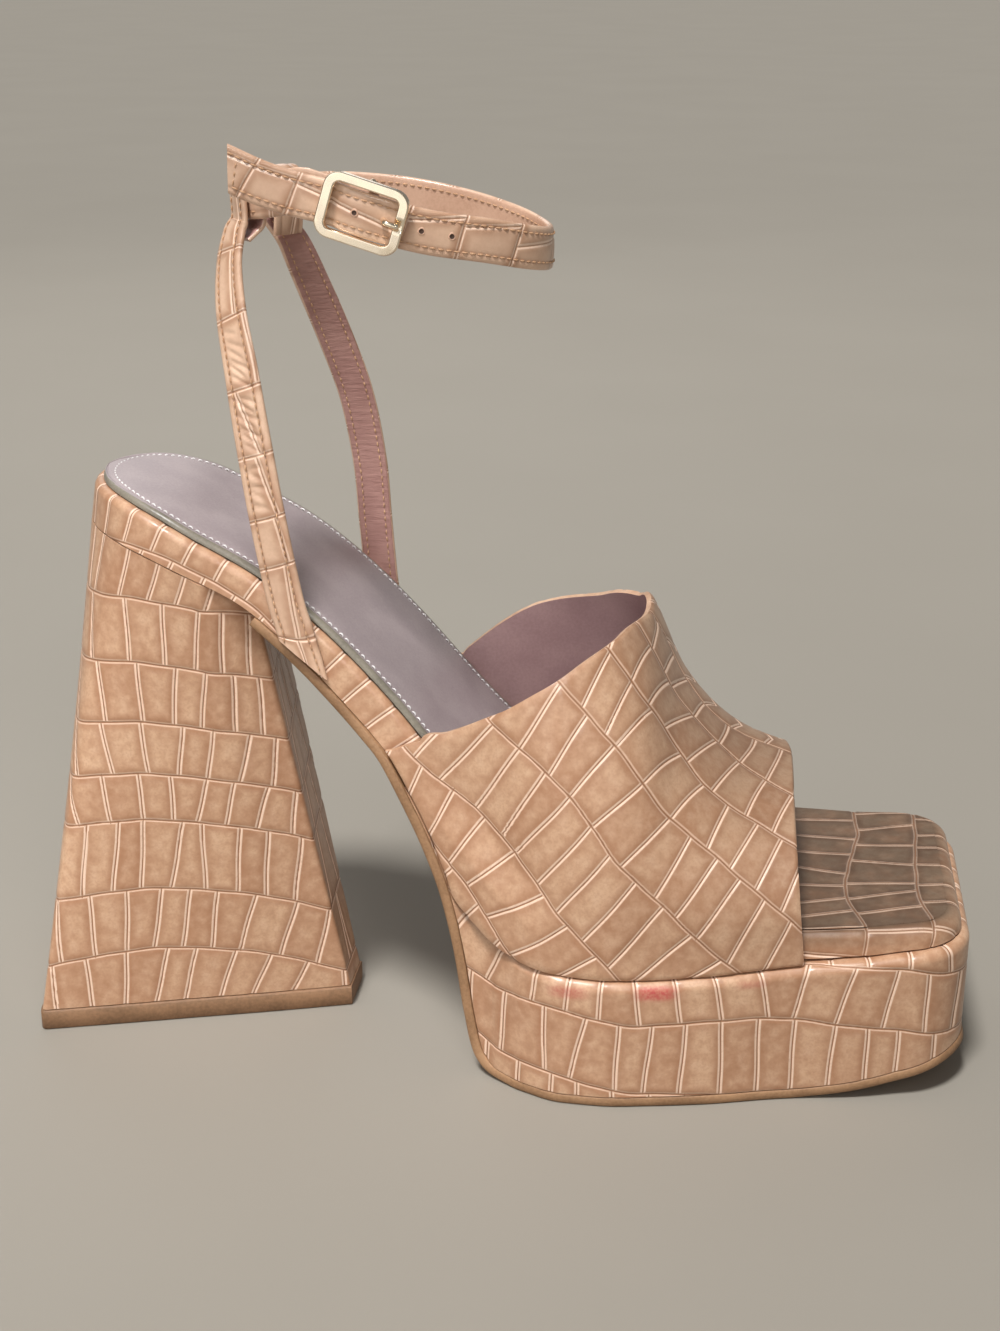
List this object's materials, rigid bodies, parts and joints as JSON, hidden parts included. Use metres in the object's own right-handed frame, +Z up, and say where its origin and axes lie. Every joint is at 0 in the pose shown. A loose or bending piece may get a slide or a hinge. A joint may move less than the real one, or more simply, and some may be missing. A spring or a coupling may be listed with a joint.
{
  "type": "platform heel",
  "caption": "Right open-toe platform heel in tan embossed leather: wide vamp, flared block heel, riser straps and a buckled ankle strap, standing on its sole.",
  "frame": {"origin": "on the floor under the middle of the shoe's bounding box", "axes": "+X to the toe, +Y to the inner side of the right foot, +Z up"},
  "size_m": [0.2388, 0.0952, 0.226],
  "materials": {
    "embossed_leather": "tan scale-embossed faux leather with pale scuffed ridges, semi-gloss",
    "sock_lining": "smooth taupe sock lining, satin",
    "sole": "matte tan-brown sole rubber",
    "gold": "polished light gold plating"
  },
  "bodies": {
    "root": {"outsole": "sole", "platform": "embossed_leather", "heel_block": "embossed_leather", "heel_lift": "sole", "footbed": "embossed_leather", "insole": "sock_lining", "upper": "embossed_leather", "riser_strap_lateral": "embossed_leather", "riser_strap_medial": "embossed_leather", "ankle_strap": "embossed_leather", "buckle_frame": "gold", "buckle_prong": "gold"}
  },
  "joints": []
}
